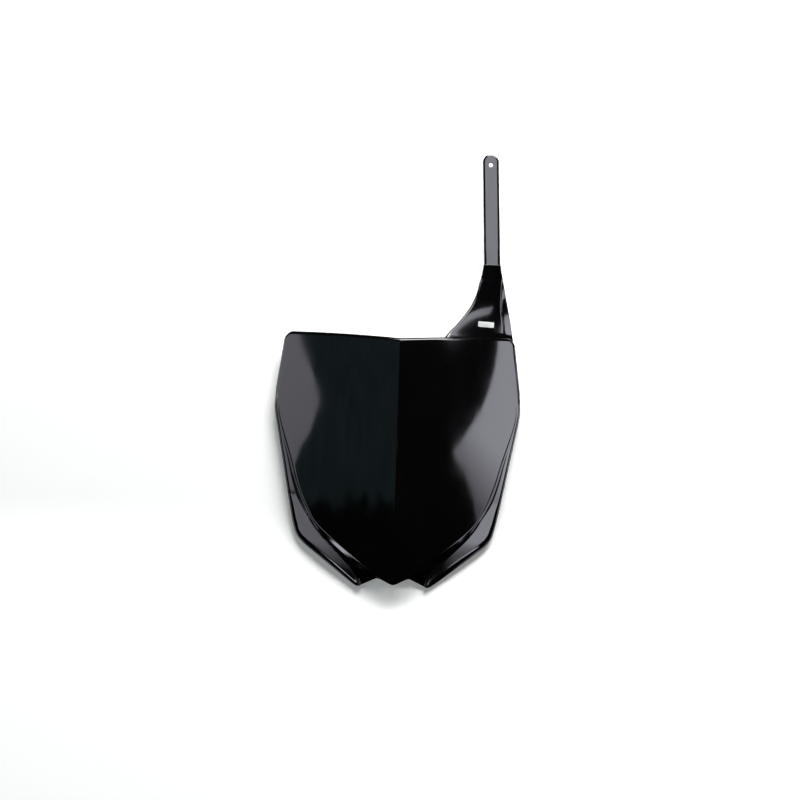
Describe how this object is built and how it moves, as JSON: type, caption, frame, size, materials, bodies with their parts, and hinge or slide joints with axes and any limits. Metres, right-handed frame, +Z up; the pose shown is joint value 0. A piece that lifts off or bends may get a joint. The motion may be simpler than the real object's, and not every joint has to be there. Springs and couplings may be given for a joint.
{
  "type": "racing number board",
  "caption": "Moulded front number board for an off-road motorcycle: two halves meeting in a crease, stepped side wings with fins, and a strap on a slotted neck.",
  "frame": {"origin": "middle of the bolt hole in the fixing tab behind the top edge, halfway through the tab", "axes": "+X to the viewer's right, +Y to the back of the board, +Z up along the bolt hole's axis"},
  "size_m": [0.244, 0.0696, 0.4345],
  "materials": {
    "gloss_black_plastic": "gloss"
  },
  "bodies": {
    "root": {"number_board": "gloss_black_plastic"}
  },
  "joints": []
}
